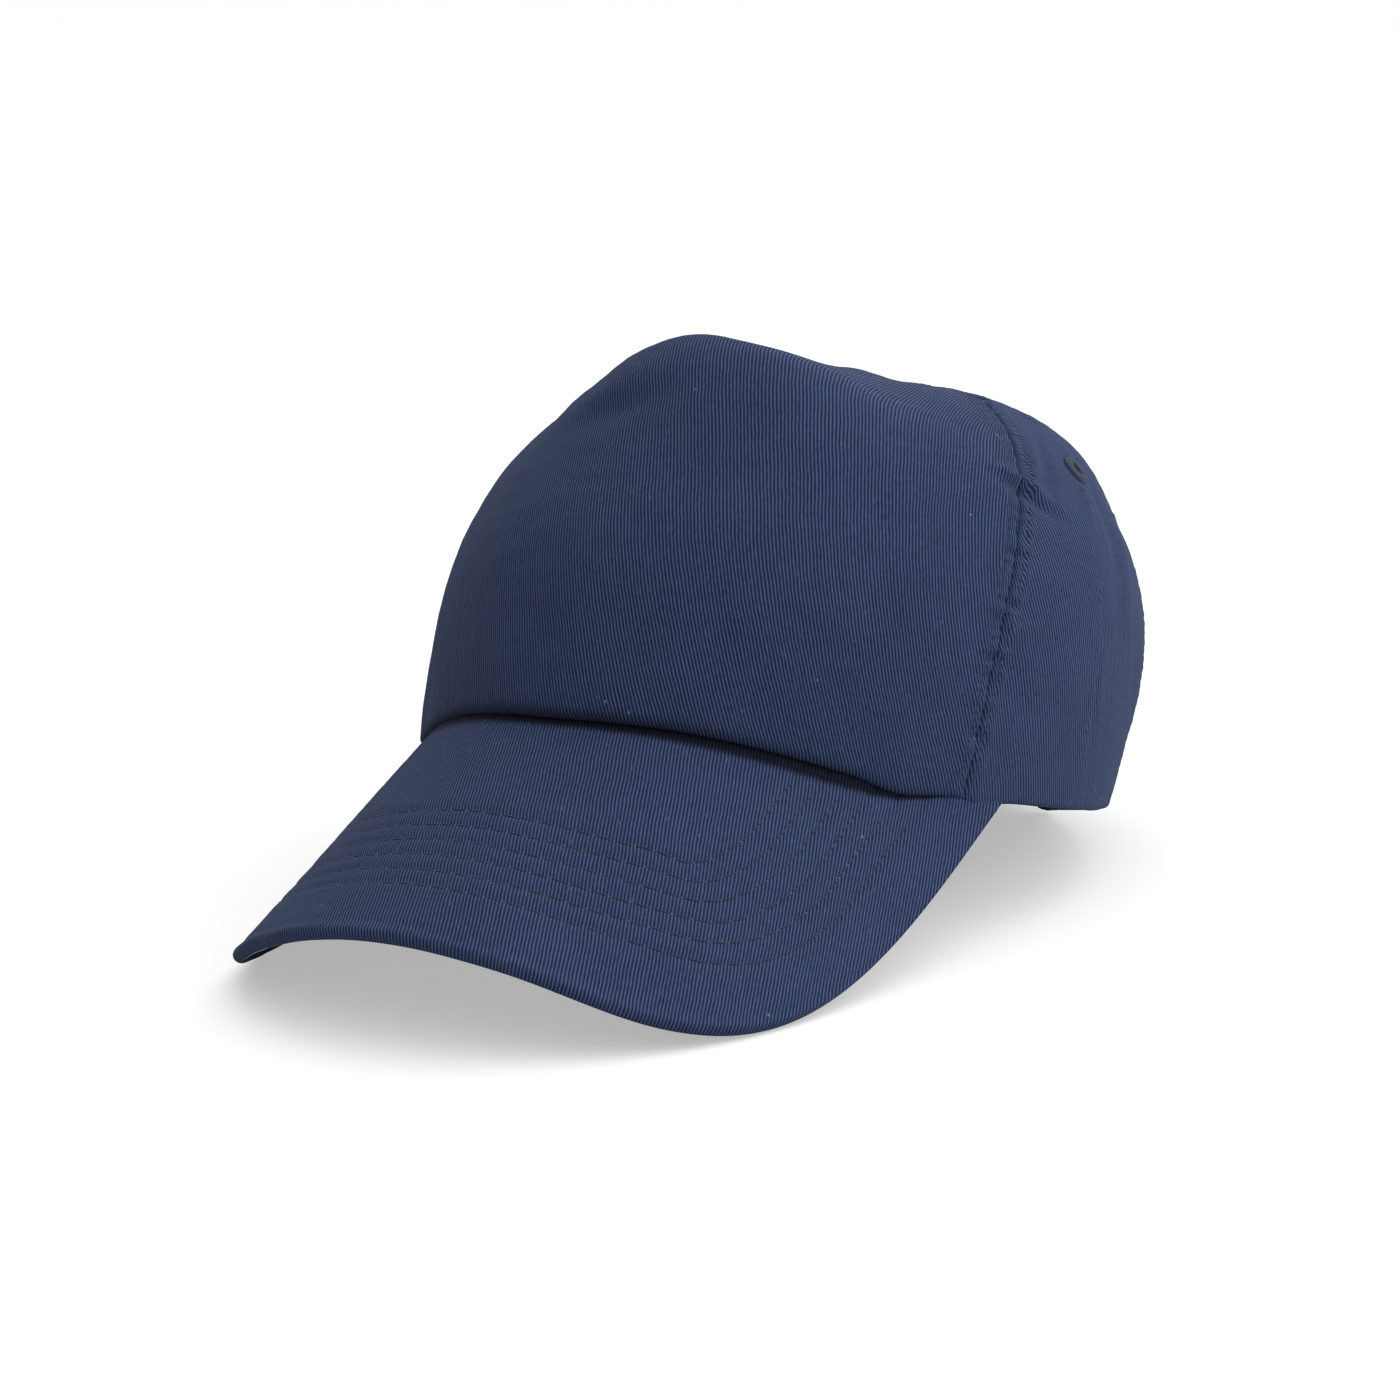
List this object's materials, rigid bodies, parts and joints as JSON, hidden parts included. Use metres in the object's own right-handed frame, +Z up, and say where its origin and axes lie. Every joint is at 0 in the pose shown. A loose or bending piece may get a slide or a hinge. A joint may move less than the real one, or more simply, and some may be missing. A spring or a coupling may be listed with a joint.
{
  "type": "baseball cap",
  "caption": "Curved-visor cotton baseball cap with a wide seamless front panel, stitched visor, sewn eyelets and a hook-and-loop back adjuster",
  "frame": {"origin": "floor plane, under the middle of the cap's bounding box; the cap lies in its resting pose on the two low side tips of the visor and the back strap", "axes": "+Z up from the floor, -Y the way the visor points, +X towards the wearer's left"},
  "size_m": [0.1824, 0.2821, 0.1435],
  "materials": {
    "navy_twill": "matt cotton drill with fine twill ribs",
    "seam_tape": "matt plain weave tape",
    "buckram": "open stiff gauze",
    "sweatband_cotton": "matt cotton twill",
    "board": "smooth white board",
    "thread": "spun polyester thread",
    "button_metal": "plain pressed",
    "rivet_brass": "satin",
    "hook_tape": "stiff woven hooks",
    "loop_tape": "brushed pile",
    "label": "blank satin weave"
  },
  "bodies": {
    "cap": {"front_panel": "navy_twill", "left_side_panel": "navy_twill", "right_side_panel": "navy_twill", "left_back_panel": "navy_twill", "right_back_panel": "navy_twill", "front_lining": "buckram", "sweatband": "sweatband_cotton", "left_front_seam_tape": "seam_tape", "right_front_seam_tape": "seam_tape", "left_rear_seam_tape": "seam_tape", "right_rear_seam_tape": "seam_tape", "centre_back_seam_tape": "seam_tape", "back_arch_binding": "navy_twill", "visor_board": "board", "visor_top_cover": "navy_twill", "visor_under_cover": "navy_twill", "visor_stitching": "thread", "left_front_seam_stitching": "thread", "right_front_seam_stitching": "thread", "button_cover": "navy_twill", "button_shell": "button_metal", "button_rivet": "rivet_brass", "left_side_eyelet": "thread", "right_side_eyelet": "thread", "left_back_eyelet": "thread", "right_back_eyelet": "thread"},
    "outer_strap": {"outer_strap": "navy_twill", "hook_patch": "hook_tape"},
    "inner_strap": {"inner_strap": "navy_twill", "loop_patch": "loop_tape"},
    "size_label": {"size_label": "label"}
  },
  "joints": [
    {"name": "outer_strap_peel", "type": "hinge", "parent": "cap", "child": "outer_strap", "pos_m": [0.03475, 0.11721, 0.00359], "axis": [0.0955, -0.5675, -0.8178], "range_deg": [0, 80]},
    {"name": "inner_strap_fold", "type": "hinge", "parent": "cap", "child": "inner_strap", "pos_m": [-0.0329, 0.1144, 0.00594], "axis": [-0.0877, -0.5648, -0.8205], "range_deg": [0, 25]},
    {"name": "size_label_flip", "type": "hinge", "parent": "cap", "child": "size_label", "pos_m": [0, 0.12601, 0.08515], "axis": [-1, 0, 0], "range_deg": [0, 80]}
  ]
}
